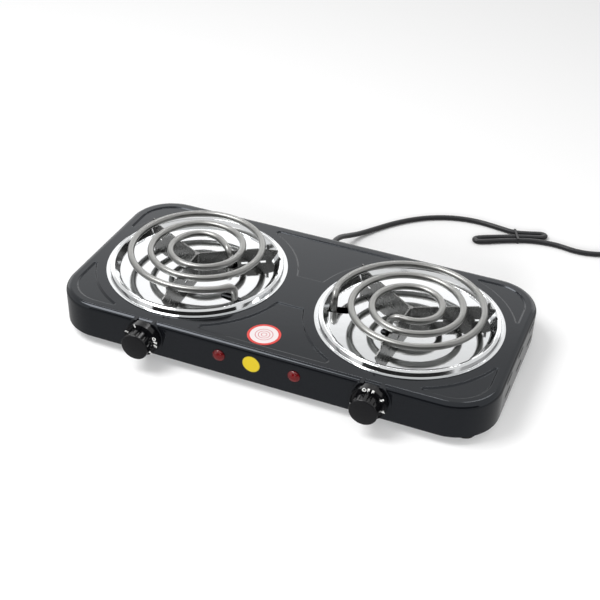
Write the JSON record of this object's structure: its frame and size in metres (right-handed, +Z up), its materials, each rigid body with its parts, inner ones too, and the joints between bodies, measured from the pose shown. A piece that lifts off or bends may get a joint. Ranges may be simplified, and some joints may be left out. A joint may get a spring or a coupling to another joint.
{
  "type": "hot plate burner",
  "caption": "Table-top electric hot plate with spiral coil burners side by side, front control knobs, pilot lamps and a mains cord with plug.",
  "frame": {"origin": "centre of the body's plan, on the surface the feet stand on", "axes": "+X to the right along the body, -Y towards the knobs at the front, +Z up"},
  "size_m": [0.7007, 0.4303, 0.0674],
  "materials": {
    "enamel": "gloss black enamel",
    "pan_chrome": "bright plated",
    "coil_sheath": "bead-blasted stainless sheath",
    "zinc_strip": "zinc-plated strip",
    "base_sheet": "galvanised sheet",
    "screw_steel": "plated steel",
    "foot_rubber": "matte",
    "ceramic": "unglazed",
    "contact_brass": "bright",
    "knob_plastic": "moulded gloss black",
    "lens_red": "translucent red",
    "lamp_plastic": "moulded nylon",
    "label_white": "printed film",
    "label_yellow": "printed film",
    "cord_pvc": "satin PVC",
    "wire_pvc": "insulated wire"
  },
  "bodies": {
    "body": {"base_plate": "base_sheet", "base_screws": "screw_steel", "coil_bracket_left": "zinc_strip", "coil_bracket_right": "zinc_strip", "cord_clamp": "lamp_plastic", "cord_clamp_base": "lamp_plastic", "cord_clamp_screws": "screw_steel", "cord_coil": "cord_pvc", "cord_hank": "cord_pvc", "cord_inner_end": "cord_pvc", "cord_run": "cord_pvc", "cord_sleeve": "cord_pvc", "cord_tail": "cord_pvc", "cord_tie": "cord_pvc", "drip_pan_left": "pan_chrome", "drip_pan_right": "pan_chrome", "foot_back_left": "foot_rubber", "foot_back_right": "foot_rubber", "foot_front_left": "foot_rubber", "foot_front_right": "foot_rubber", "foot_nuts": "screw_steel", "foot_screws": "screw_steel", "front_label": "label_yellow", "heating_coil_left": "coil_sheath", "heating_coil_right": "coil_sheath", "lamp_body_left": "lamp_plastic", "lamp_body_right": "lamp_plastic", "lamp_clips": "screw_steel", "lamp_lens_left": "lens_red", "lamp_lens_right": "lens_red", "live_wires": "wire_pvc", "neutral_wires": "wire_pvc", "pan_strap_left": "zinc_strip", "pan_strap_right": "zinc_strip", "plug_blades": "contact_brass", "plug_body": "cord_pvc", "plug_ground_pin": "contact_brass", "power_cord": "cord_pvc", "round_label": "label_white", "strap_nuts": "screw_steel", "switched_wires": "wire_pvc", "terminal_beads": "ceramic", "terminal_block": "ceramic", "terminal_block_screws": "screw_steel", "terminal_pins": "screw_steel", "thermostat_blades_left": "contact_brass", "thermostat_blades_right": "contact_brass", "thermostat_frame_left": "zinc_strip", "thermostat_frame_right": "zinc_strip", "thermostat_screws": "screw_steel", "thermostat_stack_left": "ceramic", "thermostat_stack_right": "ceramic", "top_shell": "enamel"},
    "knob_left_assembly": {"knob_left": "knob_plastic", "spindle_left": "screw_steel", "knob_clip_left": "screw_steel"},
    "knob_right_assembly": {"knob_right": "knob_plastic", "spindle_right": "screw_steel", "knob_clip_right": "screw_steel"}
  },
  "joints": [
    {"name": "knob_left_turn", "type": "hinge", "parent": "body", "child": "knob_left_assembly", "pos_m": [-0.1178, -0.12, 0.0305], "axis": [0, 1, 0], "range_deg": [-85, 215]},
    {"name": "knob_right_turn", "type": "hinge", "parent": "body", "child": "knob_right_assembly", "pos_m": [0.1146, -0.12, 0.0305], "axis": [0, 1, 0], "range_deg": [0, 300]}
  ]
}
